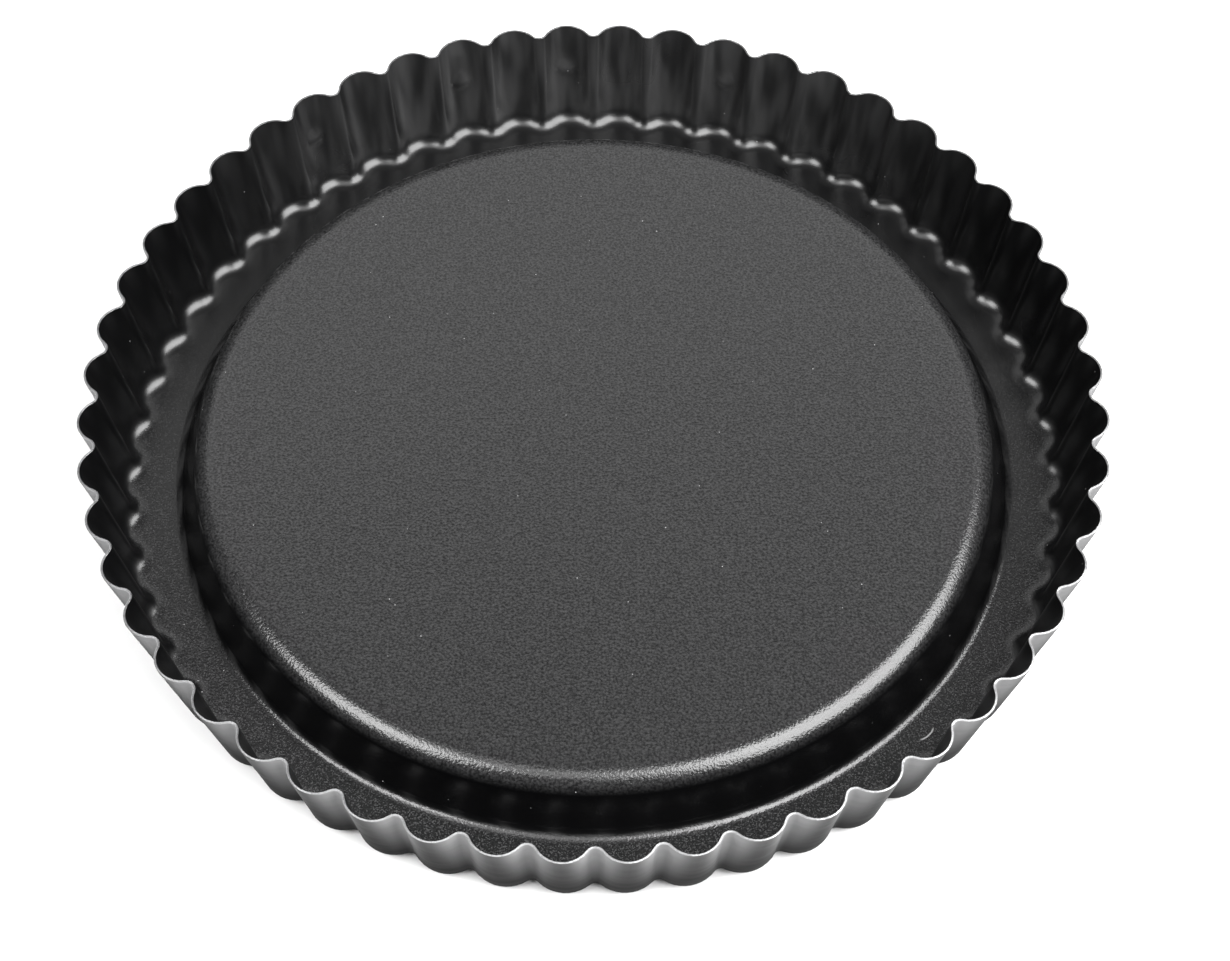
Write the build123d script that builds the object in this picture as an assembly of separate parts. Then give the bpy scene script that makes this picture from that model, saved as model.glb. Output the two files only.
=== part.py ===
from build123d import *

import os
from math import atan2, cos, pi, radians, sin, tan

# Round fluted flan pan with a raised centre, pressed in one piece from sheet
# steel that carries a non-stick coat inside and a metallic grey coat outside.
# Origin: centre of the underside, on the surface that the pan stands on.  +Z is
# up, and the flutes have a trough on each of +X, +Y, -X and -Y.  Millimetres.

# ---- driving dimensions -------------------------------------------------
RIM_RADIUS = 150.0              # outside of a flute's crest at the rim
HEIGHT = 36.0                   # rim above the surface it stands on
FLUTES = 52

RIM_FLUTE_DEPTH = 4.8           # crest to trough
RIM_CUSP_RADIUS = 2.2           # narrow inward fold between two flutes
BASE_RADIUS = 142.5             # crest, where the wall's line meets the ground
BASE_FLUTE_DEPTH = 3.2
BASE_CUSP_RADIUS = 3.0

STEEL_THICKNESS = 0.5
INNER_COAT_THICKNESS = 0.1
OUTER_COAT_THICKNESS = 0.1

HEEL_RADIUS = 5.5               # inside fillet between fluted wall and channel
HEEL_BANDS = 3                  # straight bands that make up that fillet

PLATEAU_HEIGHT = 18.7           # top of the raised centre above the ground
PLATEAU_CORNER_RADIUS = 117.65  # where the slope's line meets the top's plane
PLATEAU_SLOPE = radians(19.5)   # slope of its side, from the vertical
PLATEAU_EDGE_RADIUS = 8.0       # convex edge round the top
PLATEAU_FOOT_RADIUS = 4.2       # concave foot, where it meets the channel

STUD_FLUTES = (10, 13, 15, 18)  # flutes with a stacking stud pressed inwards
STUD_HEIGHT = 20.4              # stud's centre above the ground
STUD_WIDTH = 6.0
STUD_RISE = 1.2                 # how far it stands into the pan

# ---- sizes that follow --------------------------------------------------
# A depth is measured through the sheet from its outside surface.
OUTSIDE = 0.0
STEEL_OUTSIDE = OUTER_COAT_THICKNESS
STEEL_INSIDE = STEEL_OUTSIDE + STEEL_THICKNESS
INSIDE = STEEL_INSIDE + INNER_COAT_THICKNESS

PITCH = 2 * pi / FLUTES
WALL_SLOPE = atan2(RIM_RADIUS - BASE_RADIUS, HEIGHT)
HEEL_CENTRE_Z = HEEL_RADIUS + INSIDE
HEEL_INSET = HEEL_CENTRE_Z * (1 / cos(WALL_SLOPE) - tan(WALL_SLOPE))

EDGE_CENTRE = Vector(
    PLATEAU_CORNER_RADIUS + PLATEAU_EDGE_RADIUS * (tan(PLATEAU_SLOPE) - 1 / cos(PLATEAU_SLOPE)),
    0,
    PLATEAU_HEIGHT - PLATEAU_EDGE_RADIUS,
)
FOOT_CENTRE_Z = INSIDE + PLATEAU_FOOT_RADIUS
FOOT_CENTRE = Vector(
    PLATEAU_CORNER_RADIUS
    + (PLATEAU_HEIGHT - FOOT_CENTRE_Z) * tan(PLATEAU_SLOPE)
    + PLATEAU_FOOT_RADIUS / cos(PLATEAU_SLOPE),
    0,
    FOOT_CENTRE_Z,
)

STUD_BALL_RADIUS = ((STUD_WIDTH / 2) ** 2 + STUD_RISE**2) / (2 * STUD_RISE)


def polar(radius, angle, z):
    return Vector(radius * cos(angle), radius * sin(angle), z)


def scallop(crest, depth, cusp_radius, inset, z):
    """Fluted outline, moved inwards by inset: one lobe and one cusp arc per flute, all tangent."""
    crest -= inset
    trough = crest - depth
    cusp_radius += inset
    cusp_centre = trough + cusp_radius
    reach = cusp_centre * cos(PITCH / 2)
    lobe_radius = (crest**2 + cusp_centre**2 - 2 * crest * reach - cusp_radius**2) / (
        2 * (crest - reach + cusp_radius)
    )
    share = lobe_radius / (lobe_radius + cusp_radius)

    def tangent_point(lobe_angle, cusp_angle):
        lobe_middle = polar(crest - lobe_radius, lobe_angle, z)
        cusp_middle = polar(cusp_centre, cusp_angle, z)
        return lobe_middle + (cusp_middle - lobe_middle) * share

    arcs = []
    for flute in range(FLUTES):
        start = flute * PITCH
        middle = start + PITCH / 2
        end = start + PITCH
        first = tangent_point(middle, start)
        second = tangent_point(middle, end)
        third = tangent_point(middle + PITCH, end)
        arcs.append(Edge.make_three_point_arc(first, polar(crest, middle, z), second))
        arcs.append(Edge.make_three_point_arc(second, polar(trough, end, z), third))
    return Wire(arcs)


def base_outline(inset, z):
    return scallop(BASE_RADIUS, BASE_FLUTE_DEPTH, BASE_CUSP_RADIUS, inset, z)


def rim_outline(depth):
    inset = depth / cos(WALL_SLOPE)
    return scallop(RIM_RADIUS, RIM_FLUTE_DEPTH, RIM_CUSP_RADIUS, inset, HEIGHT)


def wall(depth):
    """Fluted wall with its heel, from the channel's floor to the rim."""
    radius = HEEL_CENTRE_Z - depth
    outlines = []
    for band in range(HEEL_BANDS + 1):
        angle = pi / 2 - band * (pi / 2 - WALL_SLOPE) / HEEL_BANDS
        inset = HEEL_INSET - radius * cos(angle)
        outlines.append(base_outline(inset, HEEL_CENTRE_Z - radius * sin(angle)))
    outlines.append(rim_outline(depth))
    return Shell.make_loft(outlines, ruled=True).faces()


def plateau_side(depth):
    """Rounded edge, sloping side and foot of the raised centre."""
    edge_radius = PLATEAU_EDGE_RADIUS - (INSIDE - depth)
    foot_radius = PLATEAU_FOOT_RADIUS + (INSIDE - depth)
    out = Vector(cos(PLATEAU_SLOPE), 0, sin(PLATEAU_SLOPE))
    halfway = PLATEAU_SLOPE / 2 + pi / 4
    out_halfway = Vector(cos(halfway), 0, sin(halfway))
    up = Vector(0, 0, 1)
    edge = Edge.make_three_point_arc(
        EDGE_CENTRE + up * edge_radius,
        EDGE_CENTRE + out_halfway * edge_radius,
        EDGE_CENTRE + out * edge_radius,
    )
    foot = Edge.make_three_point_arc(
        FOOT_CENTRE - out * foot_radius,
        FOOT_CENTRE - out_halfway * foot_radius,
        FOOT_CENTRE - up * foot_radius,
    )
    slope = Edge.make_line(edge @ 1, foot @ 0)
    return [Face.revolve(line, 360, Axis.Z) for line in (edge, slope, foot)]


def flat_round(radius, z):
    return Wire(Edge.make_circle(radius, Plane.XY.offset(z)))


def sheet_surface(depth):
    """The whole pressed surface at one depth, open at the rim."""
    top_z = PLATEAU_HEIGHT - INSIDE + depth
    top = Face(flat_round(EDGE_CENTRE.X, top_z))
    channel = Face(base_outline(HEEL_INSET, depth), [flat_round(FOOT_CENTRE.X, depth)])
    return [top, channel, *plateau_side(depth), *wall(depth)]


def stud_ball(flute, depth):
    """Ball that presses a stacking stud into the surface at one depth."""
    wall_radius = BASE_RADIUS + STUD_HEIGHT * tan(WALL_SLOPE) - INSIDE / cos(WALL_SLOPE)
    away = STUD_BALL_RADIUS - STUD_RISE
    centre = polar(
        wall_radius + away * cos(WALL_SLOPE),
        (flute + 0.5) * PITCH,
        STUD_HEIGHT - away * sin(WALL_SLOPE),
    )
    return Pos(centre) * Sphere(STUD_BALL_RADIUS - INSIDE + depth)


def filled_pan(depth):
    """Everything on the inner side of the surface at one depth, level with the rim."""
    body = Solid(Shell([*sheet_surface(depth), Face(rim_outline(depth))]))
    return body.cut(*[stud_ball(flute, depth) for flute in STUD_FLUTES])


def layer(outer_depth, inner_depth):
    return filled_pan(outer_depth).cut(filled_pan(inner_depth))


LAYERS = {
    "outer_coating": (OUTSIDE, STEEL_OUTSIDE),
    "pan_shell": (STEEL_OUTSIDE, STEEL_INSIDE),
    "nonstick_coating": (STEEL_INSIDE, INSIDE),
}


def main():
    os.makedirs("parts", exist_ok=True)
    for name, (outer_depth, inner_depth) in LAYERS.items():
        part = layer(outer_depth, inner_depth)
        export_step(part, f"parts/{name}.step")


main()
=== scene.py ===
import math

import bpy
import numpy as np
from mathutils import Matrix, Quaternion, Vector


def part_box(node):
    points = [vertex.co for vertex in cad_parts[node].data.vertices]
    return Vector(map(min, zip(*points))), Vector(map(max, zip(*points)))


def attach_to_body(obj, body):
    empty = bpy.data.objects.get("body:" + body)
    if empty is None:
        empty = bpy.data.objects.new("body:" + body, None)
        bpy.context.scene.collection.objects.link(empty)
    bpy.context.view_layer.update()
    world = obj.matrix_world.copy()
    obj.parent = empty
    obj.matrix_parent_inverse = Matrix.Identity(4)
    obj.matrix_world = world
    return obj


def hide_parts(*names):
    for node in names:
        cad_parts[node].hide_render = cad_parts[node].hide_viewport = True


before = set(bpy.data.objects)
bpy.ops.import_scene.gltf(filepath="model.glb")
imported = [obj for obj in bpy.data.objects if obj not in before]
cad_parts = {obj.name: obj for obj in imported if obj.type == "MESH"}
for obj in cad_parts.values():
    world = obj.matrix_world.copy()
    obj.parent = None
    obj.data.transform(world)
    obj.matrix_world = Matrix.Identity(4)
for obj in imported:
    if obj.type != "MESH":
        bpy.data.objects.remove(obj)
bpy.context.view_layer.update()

# ---- sizes, in metres ---------------------------------------------------
MM = 0.001
FLUTES = 52
PITCH = 2 * math.pi / FLUTES    # angle of one flute
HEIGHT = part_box("pan_shell")[1].z
SHEET = 0.7 * MM                # the steel with a coat on each side
COAT = 0.1 * MM                 # either coat, with the rounding that the shear left beside it

RIM_RADIUS = 150.0 * MM
RIM_DEPTH = 4.8 * MM
RIM_CUSP = 2.2 * MM
BASE_RADIUS = 142.5 * MM
BASE_DEPTH = 3.2 * MM
BASE_CUSP = 3.0 * MM
WALL_SLOPE = math.atan2(RIM_RADIUS - BASE_RADIUS, HEIGHT)

HEEL_RADIUS = 5.5 * MM
HEEL_Z = HEEL_RADIUS + SHEET    # centre of the fillet under the wall
HEEL_INSET = HEEL_Z * (1 / math.cos(WALL_SLOPE) - math.tan(WALL_SLOPE))

PLATEAU_Z = 18.7 * MM
PLATEAU_CORNER = 117.65 * MM
PLATEAU_SLOPE = math.radians(19.5)
EDGE_RADIUS = 8.0 * MM
FOOT_RADIUS = 4.2 * MM
EDGE_R = PLATEAU_CORNER + EDGE_RADIUS * (math.tan(PLATEAU_SLOPE) - 1 / math.cos(PLATEAU_SLOPE))
EDGE_Z = PLATEAU_Z - EDGE_RADIUS
FOOT_Z = SHEET + FOOT_RADIUS
FOOT_R = (
    PLATEAU_CORNER
    + (PLATEAU_Z - FOOT_Z) * math.tan(PLATEAU_SLOPE)
    + FOOT_RADIUS / math.cos(PLATEAU_SLOPE)
)

# Marks pressed into the wall from outside: flute, height, rise, radius.
STUDS = [(flute, 20.4 * MM, 1.2 * MM, 3.0 * MM) for flute in (10, 13, 15, 18)]
DINGS = [(15, 31.0 * MM, 0.6 * MM, 2.6 * MM), (15, 12.5 * MM, 0.3 * MM, 1.8 * MM)]

LOBE_STEPS, CUSP_STEPS = 10, 6  # mesh columns across each lobe and each cusp
COLUMNS = FLUTES * (LOBE_STEPS + CUSP_STEPS)
EDGE_STEPS = 12                 # mesh rows round the plateau's edge
FILLET_STEPS = 8                # mesh rows round either fillet
CENTRE_RADII = (20 * MM, 50 * MM, 80 * MM, 100 * MM, 108 * MM)  # mesh rows on the plateau's top
# Heights of the mesh rows up the wall, closest together round the studs.
WALL_HEIGHTS = np.array([8, 10, 12, 14.5, 16.5, 18, 19.2, 20.4, 21.6, 22.8, 24.5, 27, 29.5, 32]) * MM
RIM_BAND = 1.2 * MM             # the wall's last mesh band under the rim

# Centre and radius of the circle that the scratch follows, its middle and how far it reaches.
SCRATCH = ((0.0898, -0.0888, SHEET), 6.45 * MM, (0.0942, -0.0935, SHEET), 3.2 * MM)

COAT_IOR = 1.42                 # assumed, a little over a fluoropolymer's
PAINT_IOR = 1.06                # not a real paint's: set low, for an outside as dull as the photo's
COAT_BLACK = (0.001, 0.001, 0.0011)
PEBBLE_GREY = (0.0182, 0.0182, 0.0185)
FLECK_GREY = (0.031, 0.031, 0.0314)
# Colour of the painted sheen on the wall at the back.
SHEEN_GREY = (0.019, 0.019, 0.0192)
DUST_GREY = (0.16, 0.16, 0.16)
STEEL_LIGHT = (0.25, 0.25, 0.253)
STEEL_DARK = (0.14, 0.14, 0.142)
# Ends of the outside coat's painted shade and painted reflection: black at the ground, grey near the
# rim.
PAINT_SHADED_BLACK = (0.002, 0.002, 0.0021)
PAINT_LIT_GREY = (0.18, 0.18, 0.182)

# Features of the noise to the metre, one number or one for each axis, and heights of the bumps.
PEBBLE_SCALE = 1400.0
PEBBLE_HEIGHT = 0.105 * MM
FLECK_SCALE = 2300.0
CLOUD_SCALE = 14.0
STREAK_SCALE = (210.0, 210.0, 11.0)
TEAR_SCALE = 1100.0
RUB_SCALE = (30.0, 30.0, 400.0)
PAINT_GRAIN_SCALE = 900.0
PAINT_GRAIN_HEIGHT = 0.03 * MM
SPECK_SCALE = 150.0             # cells to the metre, some of which hold a speck
SPECK_SIZE = 0.22 * MM

# Made-up unevenness of the wall, at most 0.18 mm in all: waves round the pan, size of each and
# where it starts.
random = np.random.default_rng(5)
WAVES = [(count, 0.035 * MM, random.uniform(0, 2 * math.pi)) for count in (3, 5, 8, 13, 19, 27, 37)]


# ---- the pressed sheet's shape ------------------------------------------
def arc_points(centre, radius, start, stop, steps):
    """steps points along an arc, without its last one."""
    turns = np.linspace(start, stop, steps, endpoint=False)
    return np.stack([centre[0] + radius * np.cos(turns), centre[1] + radius * np.sin(turns)], 1)


def scallop(crest, depth, cusp_radius, inset):
    """(COLUMNS, 2) points of the fluted outline, moved inwards by inset."""
    crest = crest - inset
    trough = crest - depth
    cusp_radius = cusp_radius + inset
    cusp_centre = trough + cusp_radius
    reach = cusp_centre * math.cos(PITCH / 2)
    lobe_radius = (crest**2 + cusp_centre**2 - 2 * crest * reach - cusp_radius**2) / (
        2 * (crest - reach + cusp_radius)
    )
    lobe_centre = crest - lobe_radius
    # Half angle of the lobe's arc, seen from the lobe's own centre.
    dx = cusp_centre * math.cos(PITCH / 2) - lobe_centre
    dy = cusp_centre * math.sin(PITCH / 2)
    half = math.atan2(dy, dx)
    points = []
    for flute in range(FLUTES):
        middle = (flute + 0.5) * PITCH
        centre = lobe_centre * np.array([math.cos(middle), math.sin(middle)])
        points.append(arc_points(centre, lobe_radius, middle - half, middle + half, LOBE_STEPS))
        end = (flute + 1) * PITCH
        centre = cusp_centre * np.array([math.cos(end), math.sin(end)])
        bend = half - PITCH / 2
        first, last = end + math.pi + bend, end + math.pi - bend
        points.append(arc_points(centre, cusp_radius, first, last, CUSP_STEPS))
    return np.concatenate(points)


def row(outline, z):
    """The outline's points at a height."""
    return np.column_stack([outline, np.full(len(outline), z)])


def base_outline(inset):
    """The fluted outline where the wall's line meets the ground, moved inwards by inset."""
    return scallop(BASE_RADIUS, BASE_DEPTH, BASE_CUSP, inset)


COLUMN_ANGLES = np.arctan2(*base_outline(HEEL_INSET).T[::-1])
ROUND = np.column_stack([np.cos(COLUMN_ANGLES), np.sin(COLUMN_ANGLES)])


def plateau_rows(depth):
    """Rows from the middle out over the raised centre to the foot of its side."""
    back = SHEET - depth
    rows = [row(ROUND * radius, PLATEAU_Z - back) for radius in CENTRE_RADII]
    for angle in np.linspace(math.pi / 2, PLATEAU_SLOPE, EDGE_STEPS):
        radius = EDGE_RADIUS - back
        rows.append(row(ROUND * (EDGE_R + radius * math.cos(angle)), EDGE_Z + radius * math.sin(angle)))
    edge_end = rows[-1]
    foot = []
    for angle in np.linspace(PLATEAU_SLOPE, math.pi / 2, FILLET_STEPS):
        radius = FOOT_RADIUS + back
        foot.append(row(ROUND * (FOOT_R - radius * math.cos(angle)), FOOT_Z - radius * math.sin(angle)))
    for share in (0.25, 0.5, 0.75):
        rows.append(edge_end * (1 - share) + foot[0] * share)
    return rows + foot


def wall_rows(depth, heights):
    """Rows from the channel's floor up the heel and the fluted wall to the rim."""
    rows = []
    floor = row(base_outline(HEEL_INSET), depth)
    circle = row(ROUND * FOOT_R, depth)
    for share in (0.25, 0.5, 0.75, 0.92):
        rows.append(circle * (1 - share) + floor * share)
    radius = HEEL_Z - depth
    for angle in np.linspace(math.pi / 2, WALL_SLOPE, FILLET_STEPS):
        inset = HEEL_INSET - radius * math.cos(angle)
        rows.append(row(base_outline(inset), HEEL_Z - radius * math.sin(angle)))
    low = rows[-1]
    inset = depth / math.cos(WALL_SLOPE)
    high = row(scallop(RIM_RADIUS, RIM_DEPTH, RIM_CUSP, inset), HEIGHT)
    rise = HEIGHT - low[0, 2]
    for z in heights:
        share = (z - low[0, 2]) / rise
        rows.append(low * (1 - share) + high * share)
    return rows


def press_marks(points):
    """Presses the stacking studs and a few dings into the wall, each a cap of a ball."""
    angle = np.arctan2(points[:, 1], points[:, 0])
    radius = np.hypot(points[:, 0], points[:, 1])
    push = np.zeros(len(points))
    for flute, z, rise, reach in STUDS + DINGS:
        across = (angle - (flute + 0.5) * PITCH + math.pi) % (2 * math.pi) - math.pi
        away = np.hypot(across * radius, points[:, 2] - z)
        ball = (reach**2 + rise**2) / (2 * abs(rise))
        cap = np.sqrt(ball**2 - np.clip(away, 0, reach) ** 2) - ball + abs(rise)
        push += math.copysign(1, rise) * np.where(radius > FOOT_R, cap, 0)
    points[:, :2] *= (1 - push / radius)[:, None]
    return points


def waver(points):
    """Small unevenness of the pressed flutes, nothing at the floor and most at the rim."""
    angle = np.arctan2(points[:, 1], points[:, 0])
    radius = np.hypot(points[:, 0], points[:, 1])
    shift = sum(size * np.sin(count * angle + phase) for count, size, phase in WAVES)
    shift *= np.clip(points[:, 2] / HEIGHT, 0, 1) * (radius > FOOT_R)
    points[:, :2] *= (1 + shift / radius)[:, None]
    return points


def sheet_rows(depth, heights):
    """Rows of the surface at a depth in the sheet, from the middle out to the rim."""
    rows = plateau_rows(depth) + wall_rows(depth, heights)
    return [waver(press_marks(r.copy())) for r in rows]


def cut_drop(depth):
    """How far below the inner edge the rim is at this depth: it is cut square to the wall."""
    return (SHEET - depth) * math.sin(WALL_SLOPE)


def drawn_amount(points):
    """0 on the raised centre's top, 1 on its side and on the wall; the channel's floor goes
    from 0.1 at the front to 1 at the back."""
    radius = np.hypot(points[:, 0], points[:, 1])
    channel = np.interp(points[:, 1], (-0.7 * FOOT_R, 0.0, 0.5 * FOOT_R), (0.1, 0.5, 1.0))
    above_floor = np.clip((points[:, 2] - SHEET) / (1.0 * MM), channel, 1)
    below_top = np.clip((PLATEAU_Z - 2.0 * MM - points[:, 2]) / (2.5 * MM), 0, 1)
    return above_floor * np.where(radius > FOOT_R, 1, below_top)


def outer_amount(points):
    """1 on the channel's floor, the heel and the wall, 0 inside them."""
    return (np.hypot(points[:, 0], points[:, 1]) > FOOT_R - 0.5 * MM).astype(float)


def painted_light_amount(points):
    """Amount of painted light on the outside coat, painted shade at 0 and painted reflection at 1: 1
    where a fold between two flutes meets the rim, 0.36 where a crest does, 0 at the ground.
    """
    angle = np.arctan2(points[:, 1], points[:, 0])
    return (0.68 + 0.32 * np.cos(FLUTES * angle)) * np.clip(points[:, 2] / HEIGHT, 0, 1)


def layer_rows(outer_depth, inner_depth):
    """Rows over a layer's inside, across its cut edge and back under its outside."""
    top = HEIGHT - cut_drop(inner_depth)
    soft = 0.08 * (inner_depth - outer_depth)
    heights = np.append(WALL_HEIGHTS, [top - RIM_BAND, top - soft])
    inner = sheet_rows(inner_depth, heights)
    outer = sheet_rows(outer_depth, heights - (cut_drop(outer_depth) - cut_drop(inner_depth)))
    crown = []
    for share in (0.08, 0.92):
        depth = inner_depth + (outer_depth - inner_depth) * share
        crown.append(sheet_rows(depth, [HEIGHT - cut_drop(depth)])[-1])
    return inner + crown + outer[::-1]


def closed_faces(count):
    """Faces over count rings of points, closed by one middle point before and one after them."""
    here = np.arange(COLUMNS)
    there = (here + 1) % COLUMNS
    sides = list(zip(here.tolist(), there.tolist()))
    faces = [(0, 1 + a, 1 + b) for a, b in sides]
    for k in range(count - 1):
        low = 1 + k * COLUMNS
        high = low + COLUMNS
        quads = np.column_stack([low + here, high + here, high + there, low + there])
        faces.extend(map(tuple, quads.tolist()))
    last = 1 + (count - 1) * COLUMNS
    end = last + COLUMNS
    return faces + [(end, last + b, last + a) for a, b in sides]


def layer_mesh(name, outer_depth, inner_depth):
    """A closed layer of the sheet between two depths, cut square to the wall at the rim."""
    rows = layer_rows(outer_depth, inner_depth)
    middle_in = np.array([[0, 0, rows[0][0, 2]]])
    middle_out = np.array([[0, 0, rows[-1][0, 2]]])
    points = np.concatenate([middle_in, *rows, middle_out])
    mesh = bpy.data.meshes.new(name)
    mesh.from_pydata(points.tolist(), [], closed_faces(len(rows)))
    mesh.validate()
    # The "fold" amount carries painted shade low on the outside and painted reflection near the rim.
    for label, amount in (("drawn", drawn_amount), ("outer", outer_amount), ("fold", painted_light_amount)):
        mesh.attributes.new(label, "FLOAT", "POINT").data.foreach_set("value", amount(points))
    mesh.shade_smooth()
    mesh.set_sharp_from_angle(angle=math.radians(35))
    return mesh


# ---- materials ----------------------------------------------------------
def new_material(name):
    """A new material, its node tree and its shader."""
    material = bpy.data.materials.new(name)
    material.use_nodes = True
    tree = material.node_tree
    shader = tree.nodes["Principled BSDF"]
    return material, tree, shader


def add_node(tree, kind, **values):
    """A node with its settings and socket values, given by name."""
    node = tree.nodes.new(kind)
    for key, value in values.items():
        if key in node.inputs:
            node.inputs[key].default_value = value
        else:
            setattr(node, key, value)
    return node


def attach(tree, value, socket):
    """Links an output to a socket, or sets the socket to a number."""
    if isinstance(value, bpy.types.NodeSocket):
        tree.links.new(value, socket)
    else:
        socket.default_value = value


def maths(tree, operation, first, second=0.0, clamp=False):
    """The result of one operation on two outputs or numbers."""
    node = add_node(tree, "ShaderNodeMath", operation=operation, use_clamp=clamp)
    attach(tree, first, node.inputs[0])
    attach(tree, second, node.inputs[1])
    return node.outputs[0]


def product(tree, first, *others):
    """Outputs and numbers multiplied together, from the left."""
    for other in others:
        first = maths(tree, "MULTIPLY", first, other)
    return first


def ramp(tree, value, low, high, to_low=0.0, to_high=1.0):
    """Value mapped from one range to another, held at the ends."""
    node = add_node(tree, "ShaderNodeMapRange", interpolation_type="SMOOTHSTEP")
    attach(tree, value, node.inputs["Value"])
    for key, number in (("From Min", low), ("From Max", high), ("To Min", to_low), ("To Max", to_high)):
        node.inputs[key].default_value = number
    return node.outputs["Result"]


def painted(tree, label):
    """The amount that the mesh carries under this label."""
    return add_node(tree, "ShaderNodeAttribute", attribute_name=label).outputs["Fac"]


def noise(tree, place, scale, detail=2.0, roughness=0.5):
    """Noise with about scale features to the metre."""
    node = add_node(tree, "ShaderNodeTexNoise", Scale=scale, Detail=detail, Roughness=roughness)
    tree.links.new(place, node.inputs["Vector"])
    return node.outputs["Fac"]


def stretched(tree, place, scale):
    """The place scaled along each axis, for noise that runs one way."""
    node = add_node(tree, "ShaderNodeMapping", Scale=scale)
    tree.links.new(place, node.inputs["Vector"])
    return node.outputs["Vector"]


def object_place(tree):
    return add_node(tree, "ShaderNodeTexCoord").outputs["Object"]


def roughen(tree, shader, height, strength, distance):
    """Bumps the shader's surface by a height."""
    bump = add_node(tree, "ShaderNodeBump", Strength=strength, Distance=distance)
    tree.links.new(height, bump.inputs["Height"])
    tree.links.new(bump.outputs["Normal"], shader.inputs["Normal"])


def tint(tree, amount, first, second):
    """A colour between two, by the amount given."""
    node = add_node(tree, "ShaderNodeMix", data_type="RGBA")
    attach(tree, amount, node.inputs[0])
    for colour, socket in ((first, node.inputs[6]), (second, node.inputs[7])):
        attach(tree, (*colour, 1) if isinstance(colour, tuple) else colour, socket)
    return node.outputs[2]


def gap(tree, place, centre):
    """Distance of each point from a centre."""
    node = add_node(tree, "ShaderNodeVectorMath", operation="DISTANCE")
    tree.links.new(place, node.inputs[0])
    node.inputs[1].default_value = centre
    return node.outputs["Value"]


def scratch(tree, place, centre, radius, middle, reach):
    """A short curved scratch: part of a circle, near its middle point."""
    off = maths(tree, "ABSOLUTE", maths(tree, "SUBTRACT", gap(tree, place, centre), radius))
    line = ramp(tree, off, 0.08 * MM, 0.3 * MM, 1.0, 0.0)
    near = ramp(tree, gap(tree, place, middle), 0.6 * reach, reach, 1.0, 0.0)
    return maths(tree, "MULTIPLY", line, near)


def specks(tree, place, scale, size):
    """Sparse dust: spots of about the size given, in cells of 1 / scale."""
    node = add_node(tree, "ShaderNodeTexVoronoi", Scale=scale)
    tree.links.new(place, node.inputs["Vector"])
    return ramp(tree, node.outputs["Distance"], 0.5 * size * scale, size * scale, 1.0, 0.0)


def pebbled_colour(tree, place, pebbles, flat, outer):
    """Black with grey pebbles, fainter and with finer flecks over them on the channel's floor."""
    fainter = ramp(tree, outer, 0.0, 1.0, 1.0, 0.4)
    grains = product(tree, ramp(tree, pebbles, 0.22, 0.82, 0.07, 1.0), flat, fainter)
    coat = tint(tree, grains, COAT_BLACK, PEBBLE_GREY)
    flecks = ramp(tree, noise(tree, place, FLECK_SCALE, 1.0), 0.51, 0.7)
    flecks = product(tree, flecks, product(tree, outer, flat))
    return tint(tree, flecks, coat, FLECK_GREY)


def back_wall_painted_sheen(tree, place, outer):
    """Painted sheen in upright streaks on the wall at the back, standing in for light reflected there.
    """
    streaks = noise(tree, stretched(tree, place, STREAK_SCALE), 1.0, 1.0)
    split = add_node(tree, "ShaderNodeSeparateXYZ")
    tree.links.new(place, split.inputs[0])
    far_side = ramp(tree, split.outputs["Y"], 70 * MM, 145 * MM)
    above_floor = ramp(tree, split.outputs["Z"], 2 * MM, 6 * MM)
    return product(tree, ramp(tree, streaks, 0.3, 0.7, 0.3, 1.0), far_side, above_floor, outer)


def nonstick_material():
    """Black non-stick coat: pebbled on the flats, smoother where it was drawn."""
    material, tree, shader = new_material("nonstick_coat")
    shader.inputs["IOR"].default_value = COAT_IOR
    place = object_place(tree)
    drawn = painted(tree, "drawn")
    outer = painted(tree, "outer")
    flat = maths(tree, "SUBTRACT", 1.0, drawn)
    pebbles = noise(tree, place, PEBBLE_SCALE, 1.0, 0.6)
    dust = specks(tree, place, SPECK_SCALE, SPECK_SIZE)
    dust = maths(tree, "MAXIMUM", dust, scratch(tree, place, *SCRATCH))
    coat = pebbled_colour(tree, place, pebbles, flat, outer)
    # Painted sheen: a streaked grey tint on the wall at the back only.
    coat = tint(tree, back_wall_painted_sheen(tree, place, outer), coat, SHEEN_GREY)
    coat = tint(tree, dust, coat, DUST_GREY)
    tree.links.new(coat, shader.inputs["Base Color"])
    cloud = ramp(tree, noise(tree, place, CLOUD_SCALE, 3.0), 0.3, 0.7, 0.19, 0.23)
    rough = maths(tree, "ADD", cloud, product(tree, outer, drawn, 0.08))
    rough = maths(tree, "ADD", rough, product(tree, dust, 0.4))
    tree.links.new(rough, shader.inputs["Roughness"])
    roughen(tree, shader, product(tree, pebbles, flat), 1.0, PEBBLE_HEIGHT)
    return material


def steel_material():
    """Bare sheared edge of the sheet, with the fine tears of the cut."""
    material, tree, shader = new_material("bare_steel")
    shader.inputs["Metallic"].default_value = 1.0
    tears = noise(tree, object_place(tree), TEAR_SCALE, 3.0)
    colour = tint(tree, ramp(tree, tears, 0.35, 0.7), STEEL_LIGHT, STEEL_DARK)
    tree.links.new(colour, shader.inputs["Base Color"])
    tree.links.new(ramp(tree, tears, 0.3, 0.7, 0.3, 0.45), shader.inputs["Roughness"])
    return material


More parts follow.
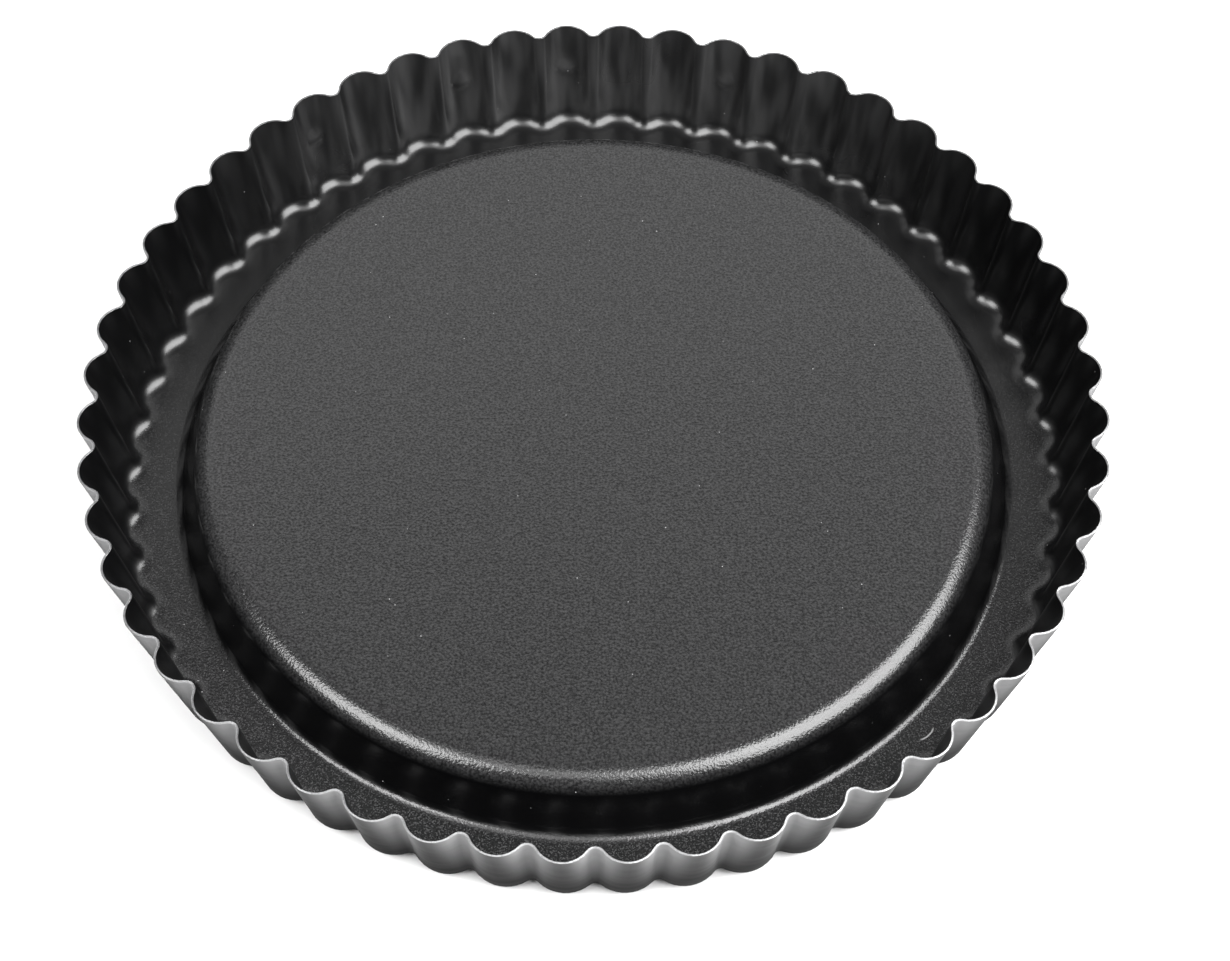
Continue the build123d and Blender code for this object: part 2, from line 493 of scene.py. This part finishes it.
def back_coat_material():
    """Dull coat on the outside, with shade and reflection painted into its colour to match the photo:
    near black at the ground, greyer towards the rim and most in the folds, with faint rubs."""
    material, tree, shader = new_material("back_coat_painted_light")
    shader.inputs["IOR"].default_value = PAINT_IOR
    place = object_place(tree)
    rubs = noise(tree, stretched(tree, place, RUB_SCALE), 1.0, 3.0)
    # Painted shade and painted reflection: near black at the ground, grey towards the rim, most in the
    # folds.
    lit_share = ramp(tree, painted(tree, "fold"), 0.05, 1.0)
    lit_share = maths(tree, "MULTIPLY", lit_share, ramp(tree, rubs, 0.3, 0.7, 0.93, 1.05), clamp=True)
    colour = tint(tree, lit_share, PAINT_SHADED_BLACK, PAINT_LIT_GREY)
    tree.links.new(colour, shader.inputs["Base Color"])
    tree.links.new(ramp(tree, rubs, 0.3, 0.7, 0.42, 0.5), shader.inputs["Roughness"])
    roughen(tree, shader, noise(tree, place, PAINT_GRAIN_SCALE, 2.0), 0.5, PAINT_GRAIN_HEIGHT)
    return material


# ---- the object ---------------------------------------------------------
def add_layer(name, node, material, outer_depth, inner_depth):
    """A piece of the pan that stands for a CAD node."""
    mesh = layer_mesh(name, outer_depth, inner_depth)
    piece = bpy.data.objects.new(name, mesh)
    bpy.context.scene.collection.objects.link(piece)
    mesh.materials.append(material)
    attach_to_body(piece, "root")
    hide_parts(node)


coat = nonstick_material()
steel = steel_material()
paint = back_coat_material()
add_layer("nonstick_skin", "nonstick_coating", coat, SHEET - COAT, SHEET)
add_layer("steel_sheet", "pan_shell", steel, COAT, SHEET - COAT)
add_layer("back_coat_skin", "outer_coating", paint, 0.0, COAT)


# ---- camera, light and floor --------------------------------------------
CAMERA_BACK = 2.837 * RIM_RADIUS
CAMERA_UP = 4.105 * RIM_RADIUS
CAMERA_DOWN = math.radians(55.70)
CAMERA_YAW = math.radians(0.849)
CAMERA_ROLL = math.radians(0.550)
CAMERA_LENS = 72.09             # millimetres
SENSOR_WIDTH = 36.0             # millimetres

LIGHT_DISTANCE = 1.6            # metres from the pan
SOFTBOXES = [                   # name, azimuth, elevation, width, height, roll in degrees, radiance
    ("right", 342, 51, 52, 42, -27, 18.5),
    ("left", 207, 51, 30, 27, 0, 18.0),
    ("top", 262, 73, 56, 30, 0, 3.6),
    ("back", 97, 45, 83, 28, 0, 1.5),
    ("back_high", 90, 70, 60, 18, 0, 0.2),
]
WORLD_RADIANCE = 0.1
FLOOR_REACH = 3.0               # metres from the middle to each side
FLOOR_SHADE = 0.58


def add_camera():
    """The camera, in front of the pan, looking down at its middle."""
    data = bpy.data.cameras.new("camera")
    data.sensor_width = SENSOR_WIDTH
    data.lens = CAMERA_LENS
    camera = bpy.data.objects.new("camera", data)
    bpy.context.scene.collection.objects.link(camera)
    turn = (
        Matrix.Rotation(-CAMERA_YAW, 4, "Z")
        @ Matrix.Rotation(math.pi / 2 - CAMERA_DOWN, 4, "X")
        @ Matrix.Rotation(CAMERA_ROLL, 4, "Z")
    )
    camera.matrix_world = Matrix.Translation((0, -CAMERA_BACK, CAMERA_UP)) @ turn
    bpy.context.scene.camera = camera


def add_softbox(name, azimuth, elevation, across, upright, roll, radiance):
    """A rectangular soft light that faces the pan, from a direction and of a size in degrees."""
    width = 2 * LIGHT_DISTANCE * math.tan(math.radians(across / 2))
    height = 2 * LIGHT_DISTANCE * math.tan(math.radians(upright / 2))
    data = bpy.data.lights.new(name, "AREA")
    data.shape = "RECTANGLE"
    data.size = width
    data.size_y = height
    data.energy = math.pi * width * height * radiance
    light = bpy.data.objects.new(name, data)
    bpy.context.scene.collection.objects.link(light)
    turn, lift = math.radians(azimuth), math.radians(elevation)
    level = math.cos(lift)
    direction = Vector((level * math.cos(turn), level * math.sin(turn), math.sin(lift)))
    light.location = direction * LIGHT_DISTANCE
    light.rotation_mode = "QUATERNION"
    rolled = Quaternion((0, 0, 1), math.radians(roll))
    light.rotation_quaternion = direction.to_track_quat("Z", "Y") @ rolled


def add_floor():
    mesh = bpy.data.meshes.new("floor")
    corners = [(x * FLOOR_REACH, y * FLOOR_REACH, 0) for x, y in ((-1, -1), (1, -1), (1, 1), (-1, 1))]
    mesh.from_pydata(corners, [], [(0, 1, 2, 3)])
    floor = bpy.data.objects.new("floor", mesh)
    bpy.context.scene.collection.objects.link(floor)
    material, tree, shader = new_material("pale_floor")
    shader.inputs["Base Color"].default_value = (FLOOR_SHADE, FLOOR_SHADE, FLOOR_SHADE, 1)
    shader.inputs["Roughness"].default_value = 0.9
    shader.inputs["Specular IOR Level"].default_value = 0.1
    mesh.materials.append(material)


def add_world():
    world = bpy.data.worlds.new("studio")
    world.use_nodes = True
    background = world.node_tree.nodes["Background"]
    background.inputs["Color"].default_value = (1, 1, 1, 1)
    background.inputs["Strength"].default_value = WORLD_RADIANCE
    bpy.context.scene.world = world


add_camera()
add_floor()
add_world()
for softbox in SOFTBOXES:
    add_softbox(*softbox)
bpy.context.scene.view_settings.view_transform = "Standard"
